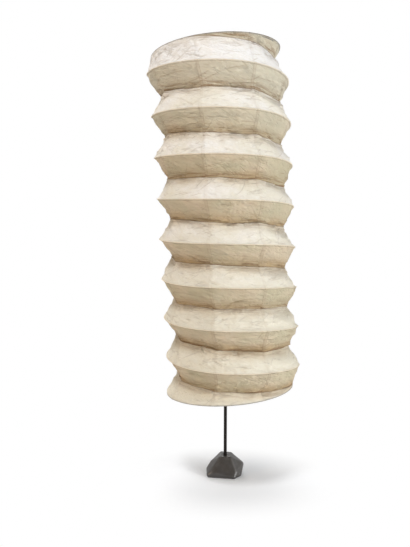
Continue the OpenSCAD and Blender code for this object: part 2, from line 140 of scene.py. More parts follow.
def tube(name, path, radius, sides=10, closed=False):
    """A round wire: at each point of the path, a circle of the given radius in the plane
    across the path, whose first axis is turned as little as possible from point to point
    by keeping it square to the world's up. An open wire gets a flat cap at each end."""
    ahead = np.roll(path, -1, 0) - np.roll(path, 1, 0)
    if not closed:
        ahead[0], ahead[-1] = path[1] - path[0], path[-1] - path[-2]
    ahead /= np.linalg.norm(ahead, axis=1)[:, None]
    side = np.cross(ahead, [0, 0, 1.0])
    side /= np.linalg.norm(side, axis=1)[:, None]
    up = np.cross(side, ahead)
    turn = np.arange(sides) * 2 * np.pi / sides
    ring = path[:, None] + radius * (
        np.cos(turn)[None, :, None] * side[:, None] + np.sin(turn)[None, :, None] * up[:, None])
    points = ring.reshape(-1, 3)
    faces = [grid_faces(len(path), sides, round_columns=closed, round_rows=True)[:, ::-1]]
    if not closed:
        first, last = len(points), len(points) + 1
        k = np.arange(sides)
        k2, base = (k + 1) % sides, (len(path) - 1) * sides
        points = np.concatenate([points, path[:1], path[-1:]])
        faces.append(np.stack([k2, k, np.full(sides, first)], -1))
        faces.append(np.stack([base + k, base + k2, np.full(sides, last)], -1))
    return lay_mesh(name, points, faces)


def drift(x, y, seed):
    """Smooth noise from -1 to 1: seeded random numbers on a lattice of whole numbers,
    blended between the four nearest by the smoothstep of the distance."""
    size = 257
    table = np.random.default_rng(seed).uniform(-1, 1, (size, size))
    x, y = np.broadcast_arrays(x, y)
    i, j = np.floor(x).astype(int), np.floor(y).astype(int)
    fx, fy = x - i, y - j
    fx, fy = fx * fx * (3 - 2 * fx), fy * fy * (3 - 2 * fy)
    i0, i1, j0, j1 = i % size, (i + 1) % size, j % size, (j + 1) % size
    low = table[i0, j0] * (1 - fx) + table[i1, j0] * fx
    high = table[i0, j1] * (1 - fx) + table[i1, j1] * fx
    return low * (1 - fy) + high * fy


# ---------------------------------------------------------------- the hoops

def ease(x):
    """Smoothstep from 0 to 1."""
    x = np.clip(x, 0, 1)
    return x * x * (3 - 2 * x)


def hoop_points(level, radius, angle):
    """A point at an angle and radius on the hoop of a level: laid flat, tipped up at the
    front by the nod, then up at the right by the roll, and moved to the leaning axis."""
    level, radius, angle = np.broadcast_arrays(level, radius, np.radians(angle))
    x, y = radius * np.cos(angle), radius * np.sin(angle)
    y, z = y * math.cos(HOOP_NOD), -y * math.sin(HOOP_NOD)
    x, z = (x * math.cos(HOOP_ROLL) - z * math.sin(HOOP_ROLL),
            z * math.cos(HOOP_ROLL) + x * math.sin(HOOP_ROLL))
    centre = (BOTTOM_LEAN - (BOTTOM_LEAN + TOP_LEAN) * level / SHADE_H
              - BOTTOM_PUSH * (1 - ease(level / (BOTTOM_FADE * PITCH)))
              - TOP_PUSH * (1 - ease((SHADE_H - level) / (TOP_FADE * PITCH))))
    return np.stack([centre + x, y, SHADE_Z + level + z], -1)


def open_share(level):
    """0 at a rim and 1 from about a third of a turn away from it."""
    return ease(np.minimum(level, SHADE_H - level) / (RIM_BLEND * PITCH))


def rim_radius(level):
    """The radius of the rim that is nearer to a level."""
    return np.where(level > SHADE_H / 2, TOP_RIM_R, BOTTOM_RIM_R)


# ---------------------------------------------------------------- the paper

FIRST_ROW, LAST_ROW = -3, 17
# The radius at which places round the paper are taken in metres
MEAN_R = 0.225
RING = 2 * math.pi * MEAN_R
# The lap over a neighbour and its height, the paper above the top wire, and the paper that
# stands straight up over the bottom wire
OVERLAP, LAP_LIFT = 0.010, 0.00075
TOP_HEM = 0.0045
CUFF = 0.006
# How far the valley stands out at a seam and in halfway to the next, which makes it nearly
# straight between them, and the most that it is moved at random in or out and up or down
CHORD, KINK_IN, KINK_DOWN = 0.0062, 0.003, 0.005
# Creases on the facets that face down and up: the arc between two, what their length and
# height are multiplied by, and the height that they don't pass
CREASE_EVERY = (0.0105, 0.0095)
CREASE_LENGTH = (1.35, 1)
CREASE_HEIGHT = (1, 1.5)
CREASE_MOST = (0.0055, 0.0075)
# The crumpled patch at the top: its middle, in degrees, and its number of creases
PATCH_ANGLE, PATCH_COUNT = 228, 46
# Shares of the way down one fold, from distances in millimetres that lie closer together
# beside the ridge and the valley
FOLD_STEPS = np.array([0, 0.9, 2.0, 3.4, 5.4, 8, 11, 14.2, 17.6, 21, 24.5, 28, 31.5, 35, 38.5,
                       42, 45.5, 49, 52.5, 56, 59, 62, 65, 67.7, 70.2, 72.6, 74.9, 77, 79,
                       80.9]) / 82.8


def valley_drift(seam, row, seed):
    """A seeded number from -1 to 1 for each seam and row, the same from both sides."""
    table = np.random.default_rng(seed).uniform(-1, 1, (64, 64))
    return table[np.asarray(seam).astype(int) % 64, np.asarray(row).astype(int) % 64]


def crease_seeds():
    """Creases scattered along the two facets that wind round the shade, first the one that
    faces down. Each has its place along the facet and up from the valley, its slope, bow,
    half length, the widths of its steep and gentle side, and its height, in metres. On the
    facet that faces up they run on a slant. On the other they keep to the valley, apart
    from some that cross. Both have a few pairs that cross at a seam, and the facet that
    faces up has a crumpled patch where the top was handled."""
    dice = np.random.default_rng(71)
    start, length = -2.5 * RING, (TURNS + 5) * RING
    seams = (math.radians(SEAM_START) + math.radians(GORE_ANGLE) * np.arange(-20, 90)) * MEAN_R
    both = []
    for kind in (0, 1):
        count = int(length / CREASE_EVERY[kind])
        x = start + length * dice.random(count)
        y = SLANT * dice.random(count) ** (1.25 if kind else 1.9)
        slope = np.radians(dice.normal(-11, 19, count) if kind else np.where(
            dice.random(count) < 0.3, dice.normal(0, 27, count), dice.normal(0, 5, count)))
        half = CREASE_LENGTH[kind] * np.where(
            dice.random(count) < 0.3, 0.030 + 0.045 * dice.random(count),
            0.010 + 0.022 * dice.random(count))
        bow = dice.normal(0, 1.0, count) * np.minimum(0.006 / half ** 2, 6)
        steep = 0.0028 + 0.0030 * dice.random(count)
        gentle = steep + 0.004 + 0.014 * dice.random(count)
        high = 0.0013 + 0.0042 * dice.random(count) ** 1.5
        high = high * np.where(dice.random(count) < 0.68, -1, 1)
        high = high * np.where(dice.random(count) < 0.5, 1, 1.35)
        high = high * (0.75 + 0.45 * drift(x / 0.09, 0.5 + 0 * x, 77 + kind)) * CREASE_HEIGHT[kind]
        seeds = [[x, y, slope, bow, half, steep, gentle, high]]
        crossing = seams[dice.random(len(seams)) < 0.6]
        n = len(crossing)
        for way in (-1, 1):
            seeds.append([
                crossing + dice.normal(0, 0.006, n), SLANT * (0.25 + 0.35 * dice.random(n)),
                way * np.radians(dice.uniform(16, 38, n)), dice.normal(0, 1.2, n),
                dice.uniform(0.025, 0.05, n), np.full(n, 0.0032),
                dice.uniform(0.008, 0.014, n), -dice.uniform(0.0016, 0.0034, n)])
        if kind:
            n = PATCH_COUNT
            patch = (math.radians(PATCH_ANGLE) - 2 * math.pi) * MEAN_R
            seeds.append([
                patch + dice.normal(0, 0.09, n), SLANT * dice.random(n),
                np.radians(dice.normal(-30, 22, n)), dice.normal(0, 4, n),
                dice.uniform(0.010, 0.035, n), np.full(n, 0.0028),
                dice.uniform(0.005, 0.012, n), -dice.uniform(0.0014, 0.0036, n)])
        both.append(np.concatenate([np.stack(group, -1) for group in seeds]))
    return both


CREASES = crease_seeds()


def crease_field(angle, row):
    """Height in metres, and the strength of the line from 0 to 1, of the creases: each
    falls off by an exponential on both sides, steeply on one, and fades at its ends. The
    sum is bent by a hyperbolic tangent, so that it never passes the most allowed."""
    rise, line = np.zeros(np.shape(angle)), np.zeros(np.shape(angle))
    for fold in range(FIRST_ROW, LAST_ROW):
        here = (row >= fold) & (row < fold + 1)
        if not here.any():
            continue
        kind = fold % 2
        along = (np.radians(angle[here]) + math.pi * (fold - kind)) * MEAN_R
        up = (row[here] - fold) * SLANT
        up = up if kind else SLANT - up
        seeds = CREASES[kind]
        middle, reach = (along.min() + along.max()) / 2, np.ptp(along) / 2
        height, mark = np.zeros(along.shape), np.zeros(along.shape)
        for x, y, slope, bow, half, steep, gentle, high in seeds[
                np.abs(seeds[:, 0] - middle) < reach + seeds[:, 4]]:
            a = (along - x) * math.cos(slope) + (up - y) * math.sin(slope)
            c = (up - y) * math.cos(slope) - (along - x) * math.sin(slope) - bow * a * a
            ends = np.clip(1 - (a / half) ** 2, 0, 1)
            height += high * ends * np.exp(-np.where(c > 0, c / gentle, -c / steep))
            strength = min(abs(high) / 0.0032, 1)
            mark = np.maximum(mark, ends * np.exp(-(c / 0.0021) ** 2) * strength)
        most = CREASE_MOST[kind]
        rise[here], line[here] = most * np.tanh(height / most), mark
    from_ridge = np.abs(row - np.round(row / 2) * 2) * SLANT
    return rise * ease(from_ridge / 0.012), line * ease(from_ridge / 0.006)


def fold_shape(angle, row):
    """How far the paper stands off its plain folds, outwards, in metres, from the angle
    and the row. It is the sum of the cusp that the rib draws out of the ridge, the blunt
    fold of the valley, fine ripples along the valley, slack between the folds, crumpled
    flats, most on those that face up and in patches, and the fuller first fold at the
    left. The creases come on top."""
    nearest = np.round(row / 2) * 2
    from_ridge = np.abs(row - nearest) * SLANT
    from_valley = SLANT - from_ridge
    arc = np.radians(angle) * MEAN_R
    down = row * SLANT
    cusp = 0.0014 * np.exp(-(from_ridge / 0.0016) ** 2) - 0.0030 * np.exp(
        -((from_ridge - 0.012) / 0.011) ** 2)
    lively = 0.5 + 0.5 * drift(arc / 0.07, down / 0.16, 3)
    blunt = (0.0010 + 0.0040 * lively ** 2) * np.exp(-(from_valley / 0.0050) ** 1.5)
    wave = from_valley / 0.0066 + 0.8 * drift(arc / 0.05, down / 0.05, 5)
    ripple = (0.0016 * np.exp(-from_valley / 0.015) * (0.35 + lively)
              * np.sin(2 * np.pi * wave))
    slack = 0.0030 * np.sin(np.pi * from_ridge / SLANT) * (
        drift(arc / 0.10, down / 0.083, 7) - 0.2)
    slack = slack + 0.0012 * drift(arc / 0.035, down / 0.028, 9) * ease(from_ridge / 0.02)
    faces_up = np.mod(np.floor(row), 2)
    crumple = 0.0020 * (np.abs(drift(arc / 0.016, down / 0.0125, 23)) - 0.3)
    crumple = crumple + 0.0022 * faces_up * (np.abs(drift(arc / 0.021 + down / 0.013,
                                                          down / 0.010, 27)) - 0.3)
    patch = ease(0.2 + drift(arc / 0.12, down / 0.08, 31) * 2.0)
    crumple = crumple * (0.3 + 0.25 * faces_up + 1.1 * patch) * ease(from_ridge / 0.008)
    full = 0.011 * np.exp(-((angle - 186) / 34) ** 2) * (np.floor(row) == 0) * np.sin(
        np.pi * from_ridge / SLANT)
    return cusp + blunt + ripple * ease(from_ridge / 0.02) + slack + crumple + full


def paper_surface(angle, row):
    """The outer skin: straight between the ridge and the valley points of the folds, which
    end at the rims, with the folds' own shape and the valleys' kinks at the seams added
    along the radius. The paper's top edge stands a hem above its wire, and its bottom edge
    is a cuff straight up over the other. Returns the level of the point, its radius, its
    level in the plain folds and the strength of its crease."""
    def fall(at):
        return PITCH * ((angle - RIB_START) / 360 + at / 2)

    upper = np.clip(np.floor(row), FIRST_ROW, LAST_ROW - 1)
    share = row - upper
    level = np.clip(SHADE_H - fall(row), 0, SHADE_H)
    seam = (angle - SEAM_START) / GORE_ANGLE

    def corner(at):
        at_level = np.clip(SHADE_H - fall(at), 0, SHADE_H)
        even = np.mod(at, 2) == 0
        k = np.floor(seam + 1e-9)
        f = np.clip(seam - k, 0, 1)
        kink = valley_drift(k, at, 41) * (1 - f) + valley_drift(k + 1, at, 41) * f
        chord = CHORD * (1 - 8 * f * (1 - f))
        open_r = np.where(even, RIDGE_R, VALLEY_R + KINK_IN * kink + chord)
        radius = rim_radius(at_level) + (open_r - rim_radius(at_level)) * open_share(at_level)
        shift = np.where(even, 0, KINK_DOWN * (
            valley_drift(k, at, 43) * (1 - f) + valley_drift(k + 1, at, 43) * f)
            + 0.0022 * drift(angle * 0.07, at * 3.3, 45))
        return at_level, radius, np.clip(at_level + shift * open_share(at_level), 0, SHADE_H)

    level_a, radius_a, z_a = corner(upper)
    level_b, radius_b, z_b = corner(upper + 1)
    span = np.where(np.abs(level_a - level_b) < 1e-9, 1, level_a - level_b)
    share = np.clip((level_a - level) / span, 0, 1)
    flat_level = z_a * (1 - share) + z_b * share
    # The radius follows the straight fold down to where the rim cuts it. The cuff leaves
    # the bottom wire room when it slides up.
    radius = radius_a * (1 - share) + radius_b * share
    radius = radius + (BOTTOM_RIM_R - radius) * (1 - ease((level - CUFF) / 0.014))
    calm = ease(np.minimum(level - CUFF, SHADE_H - level) / 0.020)
    rise, line = crease_field(angle, row)
    radius = radius + (fold_shape(angle, row) + rise) * calm
    flat_level = flat_level + TOP_HEM * ease(1 - (SHADE_H - level) / 0.06)
    return flat_level, radius, level, line


def paper_gore(number, material):
    """One vertical strip: a grid over the angle and the row. Its left edge runs on as a
    lap that lies on the neighbour, lifted a little more than the paper is thick. Rows past
    a rim are gathered into the rim's point of their column, and the faces that this closes
    are left out. Solidify gives the paper its thickness inwards. The masks tell the finish
    the share of the way from the ridge to the valley, whether the fold faces down there,
    the distance to the seam and to the nearer rim, in metres, and the crease's strength."""
    left = SEAM_START + GORE_ANGLE * (number - 1)
    lap = math.degrees(OVERLAP / MEAN_R)
    angle = np.concatenate([left - lap * np.array([1, 0.86, 0.6, 0.3]),
                            np.linspace(left, left + GORE_ANGLE, 67)])
    whole = np.arange(FIRST_ROW, LAST_ROW)
    to_ridge = 1 - np.concatenate([FOLD_STEPS[1:], [1]])[::-1]
    even = FOLD_STEPS[None, :] + whole[whole % 2 == 0][:, None]
    odd = to_ridge[None, :] + whole[whole % 2 != 0][:, None]
    row = np.sort(np.concatenate([even.ravel(), odd.ravel(), [LAST_ROW]]))
    top_row = -2 * (angle - RIB_START) / 360
    low_row = top_row + 2 * TURNS
    columns, rows = len(angle), len(row)
    grid_row = np.clip(row[None, :], top_row[:, None], low_row[:, None])
    grid_angle = np.broadcast_to(angle[:, None], grid_row.shape)
    flat_level, radius, level, line = paper_surface(grid_angle, grid_row)
    lifted = ease((left - grid_angle) / (lap * 0.4)) * LAP_LIFT
    points = hoop_points(flat_level, radius + lifted, grid_angle).reshape(-1, 3)

    first = np.searchsorted(row, top_row, "right") - 1
    last = np.searchsorted(row, low_row, "left")
    in_column = np.clip(np.arange(rows)[None, :], first[:, None], last[:, None])
    number_of = (in_column + np.arange(columns)[:, None] * rows).ravel()
    quads = number_of[grid_faces(columns, rows)][:, ::-1]
    same = quads == np.roll(quads, -1, 1)
    count = same.sum(1)
    whole_quads = quads[count == 0]
    triangles = quads[count == 1][~same[count == 1]].reshape(-1, 3)
    used = np.unique(np.concatenate([whole_quads.ravel(), triangles.ravel()]))
    renumber = np.zeros(len(points), int)
    renumber[used] = np.arange(len(used))
    from_seam = np.radians(grid_angle - left) * MEAN_R
    uv = np.stack([from_seam, grid_row], -1)
    past_ridge = grid_row - np.round(grid_row / 2) * 2
    masks = {"fold": np.abs(past_ridge).ravel()[used],
             "under": ease(0.5 + past_ridge * 8).ravel()[used],
             "seam": from_seam.ravel()[used],
             "rim": np.minimum(level, SHADE_H - level).ravel()[used],
             "crease": line.ravel()[used]}
    piece = lay_mesh(f"paper_gore_{number}", points[used],
                     [renumber[whole_quads], renumber[triangles]],
                     uv=uv.reshape(-1, 2)[used], masks=masks)
    thick = piece.modifiers.new("paper", "SOLIDIFY")
    thick.thickness = PAPER_T
    thick.offset = -1
    dress(piece, "shade", "paper", material, f"shade_gore_{number}")
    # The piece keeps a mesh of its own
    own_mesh(piece)
    return piece


# ---------------------------------------------------------------- the wires

def rib_path():
    """The spiral that the rib follows inside the ridge, from near one rim to the other."""
    clear = ((RIB_D + RIM_D) / 2 + 2 * FIT_GAP) / PITCH * 360
    step = GORE_ANGLE / 4
    first = math.ceil(clear / step) * step
    last = math.floor((360 * TURNS - clear) / step) * step
    angle = RIB_START + np.linspace(first, last, int(TURNS * 96))
    level = SHADE_H - PITCH * (angle - RIB_START) / 360
    radius = rim_radius(level) + (RIDGE_R - rim_radius(level)) * open_share(level)
    return hoop_points(level, radius - RIB_INSET, angle)


def rim_path(level):
    """The ring of a rim, just inside the paper's edge."""
    angle = np.arange(192) * 360 / 192
    return hoop_points(level, float(rim_radius(level)) - RIM_INSET, angle)


# ---------------------------------------------------------------- the base

def base_surface(material):
    """The iron block: for each direction from its middle, the least distance to a plane
    that touches the hull of its balls, or to the pad below it, so that flats, soft edges
    and corners all come from the same balls. A cast surface stands on it: hammered flats,
    grains of sand and a few pits. The skin dips round the stem, and is flat where the bush
    sits at the back. Columns lie closer together at the back, for that seat."""
    balls = np.array(FOOT + BELLY + CROWN)
    centre = np.stack([
        BASE_MID[0] + balls[:, 0] * (BASE_W / 2 - balls[:, 3]),
        BASE_MID[1] + balls[:, 1] * (BASE_DEPTH / 2 - balls[:, 3]),
        balls[:, 2] * (BASE_H - balls[:, 3])], -1)
    middle = np.array([0, 0, 0.030])
    plane_count = 9000
    k = np.arange(plane_count) + 0.5
    tilt, turn = np.arccos(1 - 2 * k / plane_count), np.pi * (1 + 5 ** 0.5) * k
    normal = np.stack([np.cos(turn) * np.sin(tilt), np.sin(turn) * np.sin(tilt), np.cos(tilt)], -1)
    touch = np.sort(centre @ normal.T + balls[:, 3:4], 0)
    reach = touch[-1] - middle @ normal.T
    rounded = ease((touch[-1] - touch[-3] - 0.0012) / 0.003)
    rows, columns = 150, 240
    fall = np.concatenate([[0.0], np.linspace(0.02, 1, rows)]) * np.pi
    spin = np.arange(columns) * 2 * np.pi / columns
    spin = spin + 0.55 * np.cos(spin)
    fall, spin = np.meshgrid(fall[1:-1], spin, indexing="ij")
    ray = np.stack([np.sin(fall) * np.cos(spin), np.sin(fall) * np.sin(spin), np.cos(fall)], -1)
    flat = ray.reshape(-1, 3)
    far, edge = np.empty(len(flat)), np.empty(len(flat))
    for part in np.array_split(np.arange(len(flat)), 12):
        facing = flat[part] @ normal.T
        planes = np.where(facing > 0.05, reach / np.maximum(facing, 0.05), 1)
        nearest = planes.argmin(1)
        far[part], edge[part] = planes[np.arange(len(part)), nearest], rounded[nearest]
    down = -flat[:, 2]
    far = np.minimum(far, np.where(down > 1e-3, (middle[2] - PAD_T) / np.maximum(down, 1e-3), 1))
    skin = middle + flat * far[:, None]
    x, y, z = skin.T
    pits = np.maximum(drift(x / 0.009 - z / 0.008, y / 0.009 + z / 0.008, 59) - 0.62, 0) / 0.38
    cast = (0.0007 * drift(x / 0.021 + z / 0.03, y / 0.021 - z / 0.02, 51)
            + 0.00022 * drift(x / 0.006 + z / 0.007, y / 0.006 - z / 0.007, 53)
            + 0.00010 * drift(x / 0.0024 + z / 0.003, y / 0.0024 + z / 0.0027, 57)
            - 0.0005 * pits)
    cast = cast * ease((z - PAD_T) / 0.003) - 0.0006
    from_stem = np.hypot(x, y)
    dip = DIP * (1 - ease((from_stem - DIP_R) / 0.0030)) * (z > 0.05)
    skin = skin + flat * (cast - dip)[:, None]
    seat = (skin[:, 1] > BUSH_SEAT) & (np.hypot(skin[:, 0], skin[:, 2] - BUSH_Z) < BUSH_SEAT_R)
    skin[seat, 1] = BUSH_SEAT
    points = np.concatenate([skin, [[0, 0, skin[:columns, 2].mean()]], [[0, 0, PAD_T]]])
    count = rows - 1
    faces = grid_faces(count, columns, round_rows=True)
    k = np.arange(columns)
    k2 = (k + 1) % columns
    top, low = len(skin), len(skin) + 1
    last = (count - 1) * columns
    caps = np.concatenate([np.stack([k2, np.full(columns, top), k], -1),
                           np.stack([last + k, np.full(columns, low), last + k2], -1)])
    # A mask that grows towards the floor, for the painted shade at the iron's foot
    foot = ease((0.034 - points[:, 2]) / 0.026)
    piece = lay_mesh("iron_base", points, [faces, caps],
                     masks={"edge": np.append(edge, [0, 0]), "foot": foot})
    return dress(piece, "stand", "iron", material, "base_casting")


# ---------------------------------------------------------------- materials

def add(tree, kind, place=(0, 0), **values):
    """A node with its settings and the defaults of its inputs."""
    node = tree.nodes.new(kind)
    node.location = place
    for key, value in values.items():
        if key.startswith("in_"):
            name = key[3:].replace("_", " ")
            socket = node.inputs[int(name)] if name.isdigit() else node.inputs[name]
            socket.default_value = value
        else:
            setattr(node, key, value)
    return node


def feed(tree, socket, value):
    """Link a socket to another socket, or set it to a number or a colour."""
    if isinstance(value, bpy.types.NodeSocket):
        tree.links.new(value, socket)
    else:
        socket.default_value = value


def mix_colour(tree, share, first, second):
    """A Mix node between two colours, each a socket or a colour, by a share."""
    node = add(tree, "ShaderNodeMix", data_type="RGBA")
    for socket, value in zip((node.inputs[0], node.inputs[6], node.inputs[7]),
                             (share, first, second)):
        feed(tree, socket, value)
    return node.outputs[2]


def reckon(tree, operation, *values, clamp=False):
    """A Math node over sockets and numbers."""
    node = add(tree, "ShaderNodeMath", operation=operation, use_clamp=clamp)
    for socket, value in zip(node.inputs, values):
        feed(tree, socket, value)
    return node.outputs[0]


def remap(tree, value, low, high, to_low=0.0, to_high=1.0, smooth=False):
    """A Map Range node, clamped."""
    node = add(tree, "ShaderNodeMapRange", in_1=low, in_2=high, in_3=to_low, in_4=to_high,
               interpolation_type="SMOOTHSTEP" if smooth else "LINEAR")
    tree.links.new(value, node.inputs[0])
    return node.outputs[0]


def mix_shaders(tree, share, first, second, out):
    """A Mix Shader node between two shader nodes, linked to the tree's output."""
    both = add(tree, "ShaderNodeMixShader")
    feed(tree, both.inputs[0], share)
    tree.links.new(first.outputs[0], both.inputs[1])
    tree.links.new(second.outputs[0], both.inputs[2])
    tree.links.new(both.outputs[0], out.inputs["Surface"])


def shader_group(name, takes, gives):
    """A shader group that takes numbers with their defaults and gives numbers."""
    group = bpy.data.node_groups.new(name, "ShaderNodeTree")
    for socket, value in takes.items():
        group.interface.new_socket(
            socket, in_out="INPUT", socket_type="NodeSocketFloat").default_value = value
    for socket in gives:
        group.interface.new_socket(socket, in_out="OUTPUT", socket_type="NodeSocketFloat")
    return group, group.nodes.new("NodeGroupInput"), group.nodes.new("NodeGroupOutput")


def grain_group():
    """Fine and coarse noise on Object coordinates: a mottle for the colour, a speckle, and
    a height for a bump."""
    group, enter, leave = shader_group("grain", {"Scale": 200.0, "Mottle Scale": 25.0},
                                       ("Mottle", "Speckle", "Height"))
    place = add(group, "ShaderNodeTexCoord")
    fine = add(group, "ShaderNodeTexNoise", in_Detail=6.0, in_Roughness=0.62)
    coarse = add(group, "ShaderNodeTexNoise", in_Detail=4.0, in_Roughness=0.55)
    for noise, scale in ((fine, "Scale"), (coarse, "Mottle Scale")):
        group.links.new(place.outputs["Object"], noise.inputs["Vector"])
        group.links.new(enter.outputs[scale], noise.inputs["Scale"])
    speck = remap(group, fine.outputs["Fac"], 0.55, 0.75)
    mottle = remap(group, coarse.outputs["Fac"], 0.32, 0.68)
    group.links.new(mottle, leave.inputs["Mottle"])
    group.links.new(speck, leave.inputs["Speckle"])
    group.links.new(fine.outputs["Fac"], leave.inputs["Height"])
    return group


def edge_group():
    """Where a surface turns a corner: the rounded normal of a Bevel node set against the
    surface's own normal, broken up by noise."""
    group, enter, leave = shader_group(
        "edge_wear", {"Radius": 0.0012, "Noise Scale": 90.0, "Amount": 1.0}, ("Wear",))
    rounded = add(group, "ShaderNodeBevel", samples=6)
    group.links.new(enter.outputs["Radius"], rounded.inputs["Radius"])
    own = add(group, "ShaderNodeNewGeometry")
    meet = add(group, "ShaderNodeVectorMath", operation="DOT_PRODUCT")
    group.links.new(rounded.outputs[0], meet.inputs[0])
    group.links.new(own.outputs["Normal"], meet.inputs[1])
    turned = remap(group, meet.outputs["Value"], 0.995, 0.90)
    place = add(group, "ShaderNodeTexCoord")
    noise = add(group, "ShaderNodeTexNoise", in_Detail=5.0)
    group.links.new(place.outputs["Object"], noise.inputs["Vector"])
    group.links.new(enter.outputs["Noise Scale"], noise.inputs["Scale"])
    chipped = remap(group, noise.outputs["Fac"], 0.38, 0.62)
    wear = reckon(group, "MULTIPLY", reckon(group, "MULTIPLY", turned, chipped),
                  enter.outputs["Amount"], clamp=True)
    group.links.new(wear, leave.inputs["Wear"])
    return group


GRAIN, EDGES = grain_group(), edge_group()


# Cast iron darkened near the floor as painted shade, and its pale grains
IRON_FOOT_SHADE, IRON_SPECK = (0.018, 0.016, 0.015, 1), (0.13, 0.125, 0.12, 1)


def new_material(name):
    """A material with an empty tree but for its Principled shader and its output."""
    material = bpy.data.materials.new(name)
    material.use_nodes = True
    tree = material.node_tree
    tree.nodes.clear()
    out = add(tree, "ShaderNodeOutputMaterial", (900, 0))
    shader = add(tree, "ShaderNodeBsdfPrincipled", (600, 0))
    tree.links.new(shader.outputs[0], out.inputs["Surface"])
    return material, tree, shader, out


def hard_finish(name, colour, dark, worn, rough, metal, grain_scale, mottle_scale, bump,
                wear=0.6, wear_radius=0.0008, coat=0.0, specular=0.5, cast=False):
    """Metal, iron, moulding or glass: two close tones mottled together, worn edges, a
    roughness that follows the mottle, and a bump from the grain. Cast iron is also rubbed
    along the edges that its surface marks, darkened near its foot as painted shade, and
    speckled."""
    material, tree, shader, _ = new_material(name)
    grain = add(tree, "ShaderNodeGroup", node_tree=GRAIN, in_Scale=grain_scale,
                in_Mottle_Scale=mottle_scale)
    edges = add(tree, "ShaderNodeGroup", node_tree=EDGES, in_Radius=wear_radius,
                in_Noise_Scale=grain_scale / 2, in_Amount=wear)
    mottle = grain.outputs["Mottle"]
    tone = mix_colour(tree, mottle, colour, dark)
    tone = mix_colour(tree, edges.outputs["Wear"], tone, worn)
    if cast:
        rubbed = add(tree, "ShaderNodeAttribute", attribute_name="edge").outputs["Fac"]
        rubbed = reckon(tree, "MULTIPLY", rubbed, remap(tree, mottle, 0, 1, 0.38, 0.1))
        tone = mix_colour(tree, rubbed, tone, worn)
        # Painted shade: the iron is darker near the floor
        low = add(tree, "ShaderNodeAttribute", attribute_name="foot").outputs["Fac"]
        tone = mix_colour(tree, reckon(tree, "MULTIPLY", low, 0.7), tone, IRON_FOOT_SHADE)
        speckle = reckon(tree, "MULTIPLY", grain.outputs["Speckle"], 0.35)
        tone = mix_colour(tree, speckle, tone, IRON_SPECK)
    tree.links.new(tone, shader.inputs["Base Color"])
    tree.links.new(remap(tree, mottle, 0, 1, rough * 0.85, min(rough * 1.2, 1)),
                   shader.inputs["Roughness"])
    shader.inputs["Metallic"].default_value = metal
    shader.inputs["Coat Weight"].default_value = coat
    shader.inputs["Coat Roughness"].default_value = 0.25
    shader.inputs["Specular IOR Level"].default_value = specular
    rise = add(tree, "ShaderNodeBump", in_Strength=1.0, in_Distance=bump)
    tree.links.new(grain.outputs["Height"], rise.inputs["Height"])
    tree.links.new(rise.outputs[0], shader.inputs["Normal"])
    return material


# The paper's tones where a fold faces up: cloudy, clean, yellower lower down, white at the top
UP_CLOUDY, UP_CLEAN = (0.835, 0.80, 0.70, 1), (0.905, 0.885, 0.85, 1)
UP_LOWER, UP_TOP = (0.79, 0.75, 0.63, 1), (0.885, 0.88, 0.88, 1)
# and where it faces down, darker as painted shade: cream, blushing, and greyer near the top
DOWN_SHADE_CREAM, DOWN_SHADE_BLUSH = (0.65, 0.585, 0.415, 1), (0.75, 0.64, 0.475, 1)
DOWN_SHADE_TOP = (0.715, 0.675, 0.56, 1)
# Painted shade in the valleys and along the creases, where a fold faces up and down
VALLEY_SHADE_UP, VALLEY_SHADE_DOWN = (0.66, 0.56, 0.41, 1), (0.54, 0.38, 0.19, 1)
CREASE_SHADE_UP, CREASE_SHADE_DOWN = (0.50, 0.44, 0.37, 1), (0.40, 0.27, 0.14, 1)
# Thin marks: painted shade in streaks beside the valley, along the valley, in the wrinkles' pits
# and under the rib, a painted highlight along the rib, then the seam's doubled strip and edge, the
# rim's wire, and fibres
STREAK_SHADE, VALLEY_SHADE_LINE = (0.33, 0.20, 0.10, 1), (0.28, 0.165, 0.08, 1)
PIT_SHADE, RIB_HIGHLIGHT, UNDER_RIB_SHADE = (0.64, 0.54, 0.37, 1), (0.90, 0.80, 0.64, 1), (0.36, 0.25, 0.14, 1)
DOUBLED, SEAM_EDGE = (0.50, 0.36, 0.22, 1), (0.40, 0.27, 0.15, 1)
RIM_EDGE = (0.33, 0.30, 0.26, 1)
FIBRE_PALE, FIBRE_BROWN = (0.93, 0.90, 0.85, 1), (0.55, 0.42, 0.28, 1)


